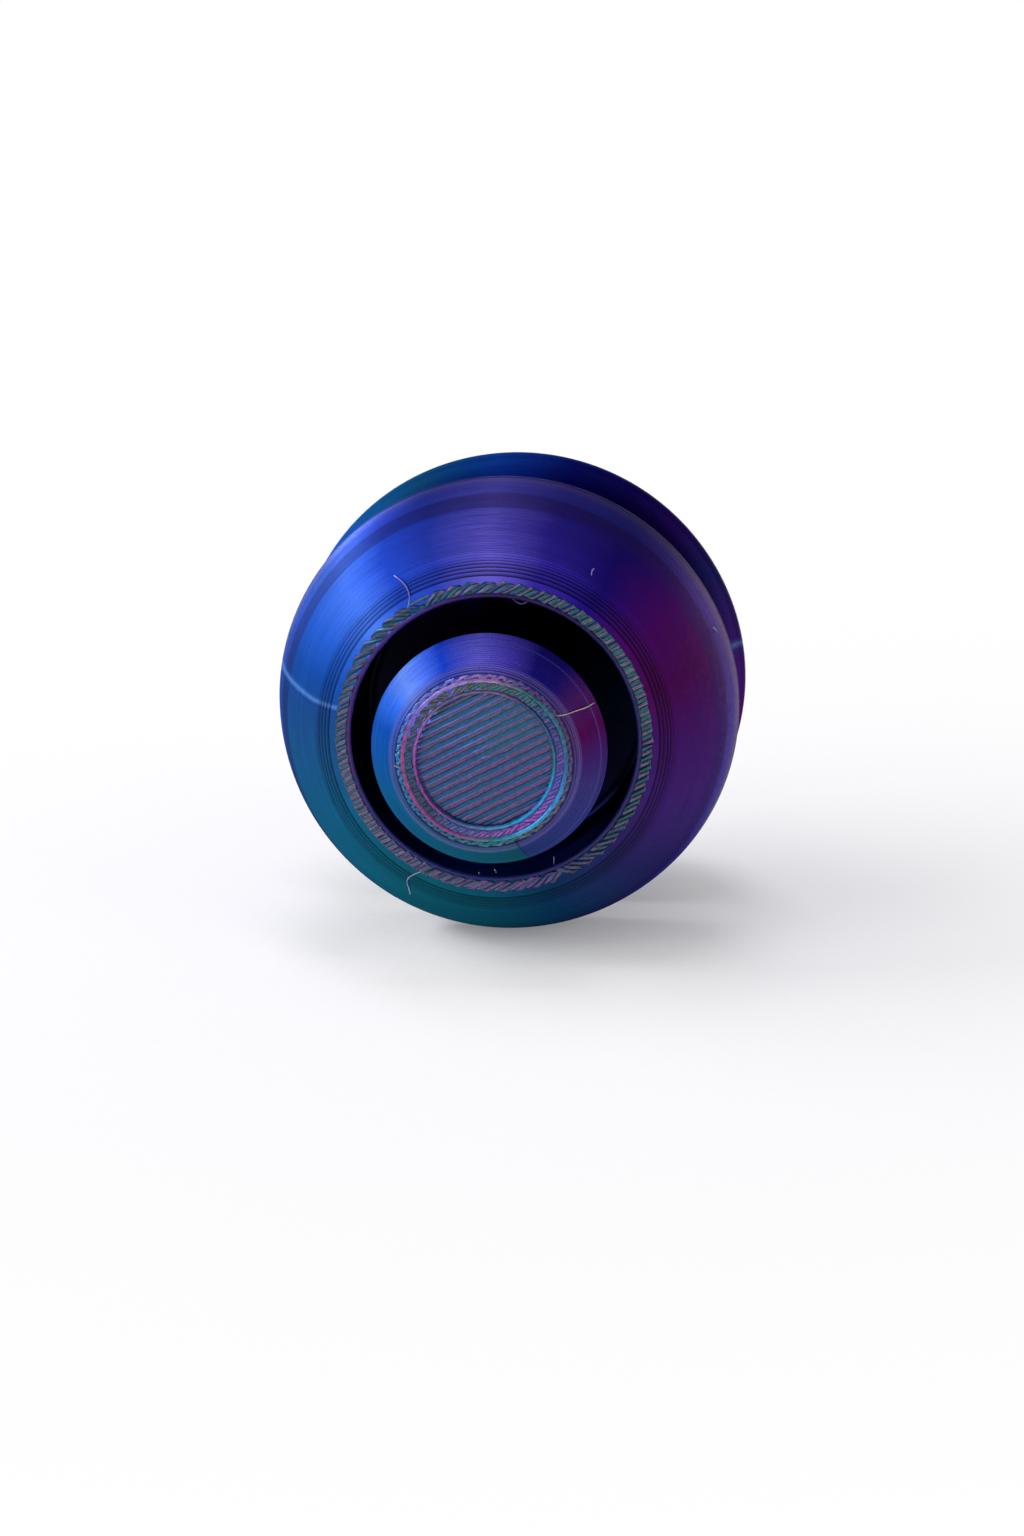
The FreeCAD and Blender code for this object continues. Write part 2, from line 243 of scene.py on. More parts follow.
def silk_pla(name, turn_stops, bands, seam, seam_stops, first, height, groove_shade_from):
    """Silk PLA as printed: pearly pigment in three colours, laid side by side, with fine layer lines.
    The pearl gives coloured highlights, which the grooves between layers draw out across the layers. Painted
    light
    is laid on top: the callers' stops round the axle and bands by reach hold painted highlights and painted
    shade, and each step near the top gets a painted shade line at its groove."""
    wander_per_mm, wander_turn = 0.35, 0.012
    streaks_round, streaks_per_mm = 9.0, 3.2
    groove_shade_fade = 0.5
    material, tree = new_material(name)
    place = add(tree, "TexCoord").outputs["Object"]
    axes = add(tree, "SeparateXYZ", {0: place})
    share = way_round(tree, axes)
    reach = add(tree, "Math", {0: axes.outputs["Y"], 1: -1 / MM}, operation="MULTIPLY").outputs[0]
    # Where one colour gives way to the next wanders by a few degrees from layer to layer.
    layer_place = add(tree, "Math", {0: reach, 1: wander_per_mm}, operation="MULTIPLY").outputs[0]
    wander = add(tree, "TexNoise", {"W": layer_place, "Scale": 1.0, "Detail": 4.0}, noise_dimensions="1D")
    shift = add(tree, "MapRange", {0: wander.outputs[0], 3: -wander_turn, 4: wander_turn}).outputs[0]
    moved = add(tree, "Math", {0: share, 1: shift}, operation="ADD").outputs[0]
    wrapped = add(tree, "Math", {0: moved}, operation="FRACT").outputs[0]
    turn_ramp = add(tree, "ValToRGB", {0: wrapped})
    set_stops(turn_ramp, [(angle / 360, code) for angle, code in turn_stops])
    # Bands of layers by reach, seen as changes of tint: where the printer slowed down or the wall began on
    # the halves, painted shade deep in the cups, and painted highlights on the knob's crown.
    low, high = bands[0][0], bands[-1][0]
    level = add(tree, "MapRange", {0: reach, 1: low, 2: high}).outputs[0]
    band_ramp = add(tree, "ValToRGB", {0: level})
    set_stops(band_ramp, [((band[0] - low) / (high - low), band[1], band[2]) for band in bands])
    banded = add(
        tree,
        "Mix",
        {0: band_ramp.outputs["Alpha"], 6: turn_ramp.outputs[0], 7: band_ramp.outputs[0]},
        data_type="RGBA",
    ).outputs[2]
    # The seam, where each layer starts and ends.
    seam_ramp = add(tree, "ValToRGB", {0: share})
    set_stops(seam_ramp, [(seam + step, code, strength) for step, code, strength in seam_stops])
    seamed = add(
        tree,
        "Mix",
        {0: seam_ramp.outputs["Alpha"], 6: banded, 7: seam_ramp.outputs[0]},
        data_type="RGBA",
    ).outputs[2]
    # Near the top, where the side lies flat, each layer stands out as a step, and its groove gets a painted
    # shade line.
    layer = {0: reach, 1: 1 / height, 2: -first / height}
    layer = add(tree, "Math", layer, operation="MULTIPLY_ADD").outputs[0]
    layer_share = add(tree, "Math", {0: layer}, operation="FRACT").outputs[0]
    groove_shade_ramp = add(tree, "ValToRGB", {0: layer_share})
    # The edge colour is the painted shade in each groove.
    edge, clear = "787878", "ffffff"
    set_stops(groove_shade_ramp, [(0.0, edge), (0.1, clear), (0.88, clear), (0.98, edge), (1.0, edge)])
    shows = add(tree, "MapRange", {0: reach, 1: groove_shade_from, 2: groove_shade_from + groove_shade_fade}).outputs[0]
    groove_shaded = add(
        tree,
        "Mix",
        {0: shows, 6: seamed, 7: groove_shade_ramp.outputs[0]},
        data_type="RGBA",
        blend_type="MULTIPLY",
    ).outputs[2]
    # Single layers differ a little in brightness, and the pearl drifts slowly along each.
    along = add(tree, "Math", {0: share, 1: streaks_round}, operation="MULTIPLY").outputs[0]
    over = add(tree, "Math", {0: reach, 1: streaks_per_mm}, operation="MULTIPLY").outputs[0]
    drawn = add(tree, "CombineXYZ", {0: along, 1: over}).outputs[0]
    streaks = {"Vector": drawn, "Scale": 1.0, "Detail": 5.0, "Roughness": 0.75}
    streaks = add(tree, "TexNoise", streaks).outputs[0]
    light = add(tree, "MapRange", {0: streaks, 1: 0.3, 2: 0.7, 3: 0.8, 4: 1.2}).outputs[0]
    colour = add(tree, "VectorMath", {0: groove_shaded, 3: light}, operation="SCALE").outputs[0]
    rough = add(tree, "MapRange", {0: streaks, 3: 0.17, 4: 0.27}).outputs[0]
    tangent = add(tree, "Tangent", direction_type="RADIAL", axis="Y")
    shader = add(
        tree,
        "BsdfPrincipled",
        {
            "Base Color": colour,
            "Metallic": 0.82,
            "Specular IOR Level": 0.25,
            "Roughness": rough,
            "Anisotropic": 0.8,
            "Anisotropic Rotation": 0.25,
            "Tangent": tangent.outputs[0],
        },
    )
    finish_material(tree, shader)
    return material


# The seam's place, as a share of a turn, and the reach past which each layer's groove gets a painted shade
# line.
HALF_SEAM = 171.0 / 360
HALF_GROOVE_SHADE_FROM = 19.1
HALF_LAYER_HEIGHT = (LAYERS_TOP - FLAT_WALL_END[1]) / HALF_LAYERS
half_material = silk_pla(
    "silk PLA, three colours, 0.2 mm layers",
    [
        # Painted light round the axle: the lighter stops at 92 and 137 degrees are painted highlights under
        # the top and key lamps, and the dark navy about 55 degrees is partly painted shade on the filament's
        # blue-violet.
        (0, "3e1060"),
        (18, "44004a"),
        (35, "44005c"),
        (55, "180470"),
        (75, "3426a2"),
        (92, "6c62d6"),
        (110, "2c44c4"),
        (124, "2450d0"),
        (137, "4c80f8"),
        (151, "2866dc"),
        (163, "1250b0"),
        (172, "1a4c94"),
        (186, "1a548c"),
        (210, "0e5c80"),
        (240, "04586a"),
        (265, "004c60"),
        (290, "003058"),
        (315, "202058"),
        (340, "3a1c68"),
        (360, "3e1060"),
    ],
    [
        (2.0, "24145c", 0.0),
        (6.35, "24145c", 0.0),
        (6.4, "140c30", 0.8),
        (6.6, "140c30", 0.8),
        (6.65, "7a68b0", 0.3),
        (8.0, "6a5cb0", 0.22),
        (8.1, "201850", 0.5),
        (8.2, "3a44b8", 0.3),
        (10.3, "3440b8", 0.25),
        (10.4, "24125c", 0.5),
        (12.9, "28145e", 0.45),
        (13.0, "28145e", 0.0),
        (21.0, "28145e", 0.0),
    ],
    HALF_SEAM,
    [(-0.0065, "1c5ac8", 0.0), (-0.002, "62a0f0", 0.75), (0.001, "1a3a80", 0.55), (0.006, "1c5ac8", 0.0)],
    FLAT_WALL_END[1],
    HALF_LAYER_HEIGHT,
    HALF_GROOVE_SHADE_FROM,
)

# The cup's walls face each other, so little light gets in: this copy paints that shade, the same filament in
# darker colours, darkest deep down and a little lighter about 265 degrees, a painted light where the wall
# below the axle faces up. Their seam and layer edges don't show.
CUP_LAYER_HEIGHT = 0.2
NO_GROOVE_SHADE = 30.0
cup_shade_material = silk_pla(
    "silk PLA, inner walls",
    [
        (0, "0c2a54"),
        (45, "0a0a30"),
        (140, "0c0830"),
        (200, "04101c"),
        (235, "0a1c60"),
        (265, "0c2c90"),
        (300, "0a1464"),
        (330, "080c38"),
        (360, "0c2a54"),
    ],
    [(6.0, "04040c", 0.6), (12.0, "04040c", 0.3), (20.0, "04040c", 0.0)],
    0.5,
    [(0.0, "04040c", 0.0), (0.01, "04040c", 0.0)],
    CUP_FLOOR,
    CUP_LAYER_HEIGHT,
    NO_GROOVE_SHADE,
)

rear_material = silk_pla(
    "silk PLA, three colours, second print",
    [
        (0, "1a4c94"),
        (14, "2458e2"),
        (30, "2a66e0"),
        (46, "0a5a98"),
        (62, "0c5a88"),
        (84, "1454b8"),
        (104, "101c88"),
        (120, "180a6c"),
        (136, "2a0a64"),
        (150, "1c1c60"),
        (180, "42106a"),
        (205, "5a0060"),
        (232, "48106a"),
        (262, "202058"),
        (292, "003058"),
        (325, "004c60"),
        (348, "1a548c"),
        (360, "1a4c94"),
    ],
    [
        (2.0, "24145c", 0.0),
        (6.6, "140c30", 0.0),
        (6.65, "7a68b0", 0.2),
        (8.1, "3a44b8", 0.2),
        (12.9, "28145e", 0.2),
        (13.0, "28145e", 0.0),
        (21.0, "28145e", 0.0),
    ],
    HALF_SEAM,
    [(-0.0065, "1c3a88", 0.0), (-0.002, "6280c0", 0.6), (0.001, "1a2a60", 0.55), (0.006, "1c3a88", 0.0)],
    FLAT_WALL_END[1],
    HALF_LAYER_HEIGHT,
    HALF_GROOVE_SHADE_FROM,
)

half_chance = random.Random(4)
front_half = turned("front_half_print", half_outline(half_chance), looped=True)
front_half.data.materials.append(half_material)
front_half.data.materials.append(cup_shade_material)
# The cup's floor and wall take the inner material with its painted shade, up to a strip below the land.
CUP_DEEPEST_GROOVE, CUP_FLOOR_SLACK, LAND_STRIP = 0.07, 0.01, 0.5
for face in front_half.data.polygons:
    radius, reach = math.hypot(face.center.x, face.center.z) / MM, -face.center.y / MM
    deep = CUP_FLOOR - CUP_FLOOR_SLACK < reach < LAND_EDGE[1] - LAND_STRIP
    if deep and radius < CUP_RADIUS + CUP_DEEPEST_GROOVE:
        face.material_index = 1
rear_half = rear_twin("rear_half_print", front_half.data.copy(), HALF_REAR_TURN)
rear_half.data.materials[0] = rear_material
for piece, node in ((front_half, "front_half"), (rear_half, "rear_half")):
    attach(piece, "yoyo")
    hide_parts(node)


# Top skin of each half's land: the last layer of solid fill, laid as one bead of silk PLA run to and fro at a
# slant, so its turns stand as saw teeth round the ring, inside a single wall bead.
BEAD_PITCH = 0.44
BEAD_SLANT = math.radians(28)
BEAD_SIDES = 8
LAND_FILL = (14.45, 15.32)
LAND_WALL = 14.13
LAND_BEAD = (0.42, 0.24)
LAND_WOBBLE, LAND_WALL_WOBBLE = 0.05, 0.015
WALL_SINK = 0.02


def sweep(points, faces, path, size, closed=False):
    """Add one flattened bead along a path of (x, reach, z) points. Its top is level with the path.
    An eight-sided section is drawn a little larger, so that it fills as much as the oval it stands for."""
    width, height = size
    wider, taller = 1.05, 1.08
    spots = [Vector(spot) for spot in path]
    first = len(points)
    count = len(spots)
    for number, spot in enumerate(spots):
        before = spots[number - 1] if closed else spots[max(number - 1, 0)]
        after = spots[(number + 1) % count] if closed else spots[min(number + 1, count - 1)]
        ahead = after - before
        across = Vector((-ahead.z, 0, ahead.x))
        across = across.normalized() if across.length > 1e-6 else Vector((1, 0, 0))
        for corner in range(BEAD_SIDES):
            angle = 2 * math.pi * (corner + 0.5) / BEAD_SIDES
            side = across * (math.cos(angle) * width / 2 * wider)
            deep = height / 2 * (1 - math.sin(angle) * taller)
            points.append((spot.x + side.x, -(spot.y - deep), spot.z + side.z))
    for number in range(count if closed else count - 1):
        one = first + number * BEAD_SIDES
        two = first + ((number + 1) % count) * BEAD_SIDES
        for corner in range(BEAD_SIDES):
            after = (corner + 1) % BEAD_SIDES
            faces.append([one + corner, one + after, two + after, two + corner])
    if not closed:
        for end in (first, first + (count - 1) * BEAD_SIDES):
            faces.append([end + corner for corner in range(BEAD_SIDES)])


def teeth(points, faces, band, reach, size, pitch, chance, wobble):
    """Fill a narrow ring with one bead run to and fro, at the fill's slant but never along the ring."""
    inner, outer = band
    steepest, side_share, uneven = 1.0, 0.6, 0.12
    angle, path, outwards = 0.0, [], True
    while angle < 2 * math.pi - pitch / outer:
        lean = (angle - BEAD_SLANT + math.pi / 2) % math.pi - math.pi / 2
        lean = max(-steepest, min(steepest, lean))
        for radius in (inner, outer) if outwards else (outer, inner):
            spot = radius + chance.uniform(-wobble, wobble)
            turn = angle - math.tan(lean) * (radius - (inner + outer) / 2) / radius
            turn += chance.uniform(-wobble, wobble) * side_share / radius
            depth = chance.uniform(0, wobble) * side_share
            path.append((spot * math.cos(turn), reach - depth, spot * math.sin(turn)))
        outwards = not outwards
        angle += pitch / (outer * math.cos(lean)) * chance.uniform(1 - uneven, 1 + uneven)
    sweep(points, faces, path, size, closed=True)


def ring_bead(points, faces, radius, reach, size, chance, wobble):
    """A closed wall bead round the axle."""
    steps, lift_share = 180, 0.4
    drift = [chance.uniform(-wobble, wobble) for _ in range(steps)]
    path = []
    for step in range(steps):
        angle = 2 * math.pi * step / steps
        spot = radius + (drift[step] + drift[step - 1]) / 2
        path.append((spot * math.cos(angle), reach + drift[step] * lift_share, spot * math.sin(angle)))
    sweep(points, faces, path, size, closed=True)


def top_skin(name, cool, warm, gap, share_stops):
    """Silk PLA as a top skin: beads laid out and back show two sides of the filament, pink then teal, with
    painted shade in the creases between beads.
    """
    start, blur_width = 0.25, 0.22
    material, tree = new_material(name)
    place = add(tree, "TexCoord").outputs["Object"]
    axes = add(tree, "SeparateXYZ", {0: place})
    share = way_round(tree, axes)
    # One stripe of each colour takes two beads, counted square to the slant.
    pair = 2 * BEAD_PITCH * MM
    side = {0: axes.outputs["X"], 1: -math.sin(BEAD_SLANT) / pair}
    side = add(tree, "Math", side, operation="MULTIPLY").outputs[0]
    upright = {0: axes.outputs["Z"], 1: math.cos(BEAD_SLANT) / pair, 2: side}
    upright = add(tree, "Math", upright, operation="MULTIPLY_ADD").outputs[0]
    blur = add(tree, "TexNoise", {"Vector": place, "Scale": 900.0, "Detail": 3.0}).outputs[0]
    bent = add(tree, "MapRange", {0: blur, 3: start - blur_width, 4: start + blur_width}).outputs[0]
    stripe = add(tree, "Math", {0: upright, 1: bent}, operation="ADD").outputs[0]
    cycle = add(tree, "Math", {0: stripe}, operation="FRACT").outputs[0]
    ramp = add(tree, "ValToRGB", {0: cycle})
    # The gap colour is a painted shade in the crease between two beads.
    stripes = [(0.0, gap), (0.07, gap), (0.12, warm), (0.38, warm), (0.5, cool), (0.92, cool)]
    set_stops(ramp, stripes + [(1.0, gap)])
    tint = add(tree, "ValToRGB", {0: share})
    set_stops(tint, [(angle / 360, code, strength) for angle, code, strength in share_stops])
    tinted = add(
        tree,
        "Mix",
        {0: tint.outputs["Alpha"], 6: ramp.outputs[0], 7: tint.outputs[0]},
        data_type="RGBA",
    ).outputs[2]
    grain = {"Vector": place, "Scale": 2600.0, "Detail": 4.0, "Roughness": 0.7}
    grain = add(tree, "TexNoise", grain).outputs[0]
    light = add(tree, "MapRange", {0: grain, 1: 0.3, 2: 0.7, 3: 0.6, 4: 1.4}).outputs[0]
    colour = add(tree, "VectorMath", {0: tinted, 3: light}, operation="SCALE").outputs[0]
    bump = add(tree, "Bump", {"Height": grain, "Strength": 0.35, "Distance": 0.00004})
    shader = add(
        tree,
        "BsdfPrincipled",
        {"Base Color": colour, "Metallic": 0.35, "Roughness": 0.32, "Normal": bump.outputs[0]},
    )
    finish_material(tree, shader)
    return material


land_skin_material = top_skin(
    "silk PLA, land top skin",
    "205868",
    "74607a",
    "0c1a30",
    [
        (0, "2c6a70", 0.3),
        (75, "2c6470", 0.3),
        (140, "1c5670", 0.35),
        (215, "6a567c", 0.4),
        (288, "5a3a88", 0.6),
        (330, "2c5a68", 0.3),
        (360, "2c6a70", 0.3),
    ],
)

land_wall_material = top_skin(
    "silk PLA, land wall bead",
    "1c2c78",
    "4a2c78",
    "0a1034",
    [
        (0, "0a1458", 0.8),
        (45, "120c48", 0.8),
        (90, "34104c", 0.8),
        (125, "3c1a80", 0.8),
        (175, "4c1068", 0.8),
        (215, "1c0c64", 0.8),
        (245, "080c68", 0.8),
        (320, "041060", 0.8),
        (360, "0a1458", 0.8),
    ],
)

skin_chance = random.Random(9)
skin_points, skin_faces = [], []
land_reach = LAND_EDGE[1]
teeth(skin_points, skin_faces, LAND_FILL, land_reach, LAND_BEAD, BEAD_PITCH, skin_chance, LAND_WOBBLE)
wall_start = len(skin_faces)
wall_reach = land_reach - WALL_SINK
ring_bead(skin_points, skin_faces, LAND_WALL, wall_reach, LAND_BEAD, skin_chance, LAND_WALL_WOBBLE)
front_skin = new_piece("front_half_top_skin", skin_points, skin_faces)
front_skin.data.materials.append(land_skin_material)
front_skin.data.materials.append(land_wall_material)
for face in front_skin.data.polygons:
    face.material_index = 1 if face.index >= wall_start else 0
rear_skin = rear_twin("rear_half_top_skin", front_skin.data, HALF_REAR_TURN)
for piece in (front_skin, rear_skin):
    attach(piece, "yoyo")


# Knobs. Each is a cap printed face up from the same silk PLA, with a stem that snaps over its bearing, a
# crowned side, and a sunk face whose fill shows as slanted stripes.
STEM_END = 20.0
STEM_RADIUS, STEM_LAYERS, STEM_GROOVE = 6.62, 17, 0.05
SNAP_LIP, SNAP_TOP = 4.8, 20.55
BEARING_BORE, BEARING_TOP = 5.02, 24.6
NUT_ROOM, NUT_ROOM_TOP = 4.49, 27.5
KNOB_BACK = 23.4
KNOB_BACK_RADIUS = 10.4
KNOB_EDGE = (11.4, 24.4)
KNOB_CORNER = (8.75, 28.8)
KNOB_FACE = 29.1
KNOB_FACE_RADIUS = 8.45
KNOB_TOP_LAYER, KNOB_LAYERS, KNOB_GROOVE = 28.9, 28, 0.04
KNOB_FLOOR = 28.5
KNOB_REAR_TURN = 70.0

knob_chance = random.Random(12)
knob_crown = [KNOB_EDGE] + arc(KNOB_EDGE, KNOB_CORNER, 0.3, 16) + [(KNOB_FACE_RADIUS, KNOB_FACE)]
knob_side = [(KNOB_BACK_RADIUS, KNOB_BACK)] + knob_crown
stem_side = [(STEM_RADIUS, STEM_END), (STEM_RADIUS, KNOB_BACK)]
knob_outline = [(0, NUT_ROOM_TOP), (NUT_ROOM, NUT_ROOM_TOP), (NUT_ROOM, BEARING_TOP)]
knob_outline += [(BEARING_BORE, BEARING_TOP), (BEARING_BORE, SNAP_TOP)]
knob_outline += [(SNAP_LIP, SNAP_TOP), (SNAP_LIP, STEM_END)]
knob_outline += layers(stem_side, STEM_END, KNOB_BACK, STEM_LAYERS, STEM_GROOVE, 1, knob_chance, fine=False)
knob_outline += layers(knob_side, KNOB_BACK, KNOB_TOP_LAYER, KNOB_LAYERS, KNOB_GROOVE, 1, knob_chance)
# Under the beads of the face: the ledge that carries the lip, and the sunk floor.
knob_outline += [(8.2, 28.92), (7.9, 28.86), (6.6, 28.86), (6.6, 28.37), (0, 28.37)]
KNOB_SEAM = 291.0 / 360
KNOB_GROOVE_SHADE_FROM = 28.2
knob_material = silk_pla(
    "silk PLA, three colours, knob layers",
    [
        # Painted light round the axle: the lighter stops about 95 and 139 to 152 degrees are painted
        # highlights, and the dark stops about 48 to 62 degrees are partly painted shade.
        (0, "3c1c68"),
        (15, "4c004e"),
        (32, "4a1860"),
        (48, "180a6c"),
        (62, "160e74"),
        (78, "4e42be"),
        (95, "6a64da"),
        (115, "1048d8"),
        (139, "6c96fc"),
        (152, "3474f4"),
        (166, "0c54bc"),
        (185, "0c56a4"),
        (205, "0a5a8c"),
        (240, "085470"),
        (270, "065064"),
        (289, "064858"),
        (293, "1e3068"),
        (325, "2c3274"),
        (345, "363070"),
        (360, "3c1c68"),
    ],
    [
        # The thin pale line at reach 25.8 and the pale bands from 28.35 on are painted highlights on the
        # crown's layers.
        (23.0, "24125c", 0.3),
        (24.5, "24125c", 0.0),
        (25.7, "24125c", 0.0),
        (25.8, "8aa0f0", 0.45),
        (25.9, "24125c", 0.0),
        (28.2, "24125c", 0.0),
        (28.35, "9a90e0", 0.25),
        (28.9, "7a70c8", 0.25),
    ],
    KNOB_SEAM,
    [(-0.004, "0c5a6c", 0.0), (0.0, "0a1430", 0.8), (0.004, "2c3a80", 0.0)],
    KNOB_BACK,
    (KNOB_TOP_LAYER - KNOB_BACK) / KNOB_LAYERS,
    KNOB_GROOVE_SHADE_FROM,
)
front_knob = turned("front_knob_print", knob_outline, looped=False)
front_knob.data.materials.append(knob_material)
rear_knob = rear_twin("rear_knob_print", front_knob.data, KNOB_REAR_TURN)


# Face of each knob: the last layers of silk PLA, laid as single beads. Slanted fill covers the sunk floor.
# The lip round it is two wall beads, each with a narrow fill outside it that runs to and fro.
FLOOR_BEAD, FLOOR_REACH, FLOOR_CUT, FLOOR_STEP = (0.43, 0.24), 6.42, 6.2, 0.8
FLOOR_PAIRING, FLOOR_WOBBLE, FLOOR_DEPTH = 0.035, 0.02, 0.012
LIP_FILL_BEAD, LIP_FILL_REACH = (0.34, 0.24), 28.98
LIP_FILL_WOBBLE, LIP_WALL_WOBBLE = 0.06, 0.03
knob_floor_material = top_skin(
    "silk PLA, knob floor skin",
    "124e80",
    "664272",
    "0a1c40",
    [
        (0, "1a6080", 0.1),
        (45, "0c7078", 0.3),
        (110, "0c7080", 0.25),
        (180, "1a5a80", 0.1),
        (360, "1a6080", 0.1),
    ],
)
# The four beads of the lip, from the outermost in, each lie their own way and so show other colours. The pale
# and pink stops about 85 to 155 degrees and the bright cyan ones about 300 degrees are partly painted
# highlights.
lip_colours = [
    [
        (0, "3c3858"),
        (30, "3c2858"),
        (60, "5a3078"),
        (85, "9a70b0"),
        (120, "6c62c4"),
        (150, "5a68c8"),
        (175, "0c80b0"),
        (230, "0c6890"),
        (280, "0c7878"),
        (298, "4a6058"),
        (330, "605c58"),
        (360, "3c3858"),
    ],
    [
        (0, "0c5c90"),
        (35, "0c6878"),
        (62, "145c58"),
        (85, "b078b0"),
        (115, "9a80c8"),
        (145, "7a58c8"),
        (168, "983078"),
        (250, "902c80"),
        (275, "0c8088"),
        (300, "1ca0d8"),
        (335, "1090d8"),
        (360, "0c5c90"),
    ],
    [
        (0, "5a48a0"),
        (30, "2c3c80"),
        (60, "3a7068"),
        (95, "34684c"),
        (120, "5c5650"),
        (155, "4a4450"),
        (185, "0c4050"),
        (225, "1c2444"),
        (250, "5a60a8"),
        (275, "8a44a8"),
        (310, "a850c0"),
        (345, "4c50b4"),
        (360, "5a48a0"),
    ],
    [
        (0, "107a88"),
        (25, "2a4a80"),
        (55, "2c3468"),
        (75, "7a5a80"),
        (130, "6a5a78"),
        (155, "a860b0"),
        (185, "a03890"),
        (225, "8a2a88"),
        (245, "4c58a0"),
        (275, "4c90c0"),
        (300, "18a4dc"),
        (335, "18a0e0"),
        (360, "107a88"),
    ],
]
lip_names = ("outer fill", "outer wall", "inner fill", "inner wall")
lip_materials = []
for lip_name, lip_stops in zip(lip_names, lip_colours):
    lip_tint = [(angle, code, 0.82) for angle, code in lip_stops]
    lip_name = "silk PLA, knob lip, " + lip_name
    lip_materials.append(top_skin(lip_name, "1c8088", "8a6c94", "101430", lip_tint))
floor_points, floor_faces = [], []
slant_run, slant_rise = math.cos(BEAD_SLANT), math.sin(BEAD_SLANT)
row_count = int(FLOOR_REACH / BEAD_PITCH)
for row in range(-row_count, row_count + 1):
    # Beads laid out and back lie in pairs, and every other one is a little lower.
    odd = row % 2
    across = row * BEAD_PITCH + (FLOOR_PAIRING if odd else -FLOOR_PAIRING)
    if abs(across) > FLOOR_CUT:
        continue
    far = math.sqrt(FLOOR_REACH**2 - across**2)
    steps = max(3, int(far * 2 / FLOOR_STEP))
    path = []
    for step in range(steps + 1):
        along = far * (2 * step / steps - 1)
        off = across + knob_chance.uniform(-FLOOR_WOBBLE, FLOOR_WOBBLE)
        reach = KNOB_FLOOR - (WALL_SINK if odd else 0.0) - knob_chance.uniform(0, FLOOR_DEPTH)
        x, z = along * slant_run - off * slant_rise, along * slant_rise + off * slant_run
        path.append((x, reach, z))
    sweep(floor_points, floor_faces, path, FLOOR_BEAD)
lip_points, lip_faces = [], []
lip_starts = []
# Each fill is its band of radii and its pitch. Each wall is its radius, reach and bead size.
for (band, pitch), (radius, reach, size) in (
    (((8.06, 8.3), 0.36), (7.8, KNOB_FACE - 0.03, (0.38, 0.3))),
    (((7.0, 7.5), 0.34), (6.68, KNOB_FACE - 0.06, (0.38, 0.5))),
):
    lip_starts.append(len(lip_faces))
    teeth(lip_points, lip_faces, band, LIP_FILL_REACH, LIP_FILL_BEAD, pitch, knob_chance, LIP_FILL_WOBBLE)
    lip_starts.append(len(lip_faces))
    ring_bead(lip_points, lip_faces, radius, reach, size, knob_chance, LIP_WALL_WOBBLE)
front_floor = new_piece("front_knob_floor_beads", floor_points, floor_faces)
front_floor.data.materials.append(knob_floor_material)
front_lip = new_piece("front_knob_lip_beads", lip_points, lip_faces)
for lip_material in lip_materials:
    front_lip.data.materials.append(lip_material)
for face in front_lip.data.polygons:
    face.material_index = sum(face.index >= start for start in lip_starts) - 1
front_pieces, rear_pieces = [front_knob, front_floor, front_lip], [rear_knob]
for piece in (front_floor, front_lip):
    rear_name = piece.name.replace("front", "rear")
    rear_pieces.append(rear_twin(rear_name, piece.data, KNOB_REAR_TURN))
for pieces, body in ((front_pieces, "front_knob"), (rear_pieces, "rear_knob")):
    for piece in pieces:
        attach(piece, body)
    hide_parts(body)


# Loose strings: hair-thin threads of silk PLA that the hot nozzle pulled as it left the print. They cling to
# the dome, the land and the front knob.
def hairs(name, side, lines, thickness):
    """Fine threads along smooth lines, whose points are (angle in degrees, reach, lift off the side)."""
    curve = bpy.data.curves.new(name, "CURVE")
    curve.dimensions = "3D"
    curve.bevel_depth = thickness / 2 * MM
    curve.bevel_resolution = 1
    curve.use_fill_caps = True
    for line in lines:
        spline = curve.splines.new("NURBS")
        spline.points.add(len(line) - 1)
        for number, (angle, reach, lift) in enumerate(line):
            turn, radius = math.radians(angle), radius_at(side, reach) + lift
            spot = (radius * math.cos(turn), -reach - lift / 2, radius * math.sin(turn))
            spline.points[number].co = [value * MM for value in spot] + [1]
        spline.order_u = 3
        spline.use_endpoint_u = True
        spline.resolution_u = 6
    source = bpy.data.objects.new(name + "_line", curve)
    bpy.context.scene.collection.objects.link(source)
    mesh = bpy.data.meshes.new_from_object(source)
    bpy.data.objects.remove(source)
    piece = bpy.data.objects.new(name, mesh)
    mesh.shade_smooth()
    bpy.context.scene.collection.objects.link(piece)
    return piece


def thread_material(name, pale, deep):
    """Drawn-out silk PLA: nearly clear where thin, so it takes a pale shine."""
    material, tree = new_material(name)
    place = add(tree, "TexCoord").outputs["Object"]
    drift = add(tree, "TexNoise", {"Vector": place, "Scale": 420.0, "Detail": 3.0}).outputs[0]
    ramp = add(tree, "ValToRGB", {0: drift})
    set_stops(ramp, [(0.35, deep), (0.65, pale)])
    shader = add(
        tree,
        "BsdfPrincipled",
        {"Base Color": ramp.outputs[0], "Roughness": 0.3, "Transmission Weight": 0.2, "IOR": 1.46},
    )
    finish_material(tree, shader)
    return material


